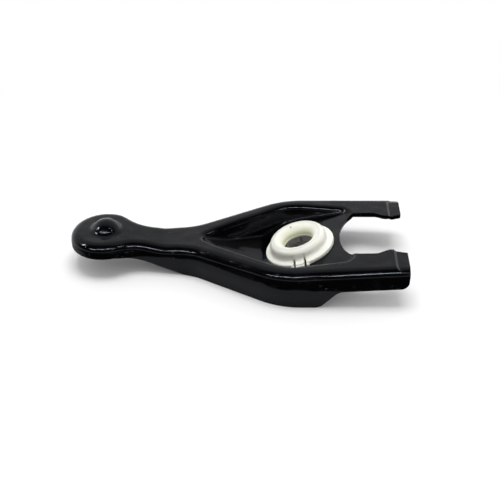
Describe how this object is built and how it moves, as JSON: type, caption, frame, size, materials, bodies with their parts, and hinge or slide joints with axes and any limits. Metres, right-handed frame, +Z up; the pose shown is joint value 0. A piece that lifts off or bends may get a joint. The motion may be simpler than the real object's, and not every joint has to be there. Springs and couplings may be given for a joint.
{
  "type": "clutch release fork",
  "caption": "Pressed steel clutch release fork with a round head, hollow arms that part into two prongs, and a moulded bush that snaps into its pan for the pivot ball.",
  "frame": {"origin": "centre of the ball seat in the bush, where the fork pivots", "axes": "+X along the fork from the round head to the prong tips, +Z up with the fork lying on the lower edges of its walls"},
  "size_m": [0.1892, 0.0804, 0.0274],
  "materials": {
    "lever_paint": "gloss",
    "bush_plastic": "satin"
  },
  "bodies": {
    "root": {"fork_lever": "lever_paint", "pivot_bush": "bush_plastic"}
  },
  "joints": []
}
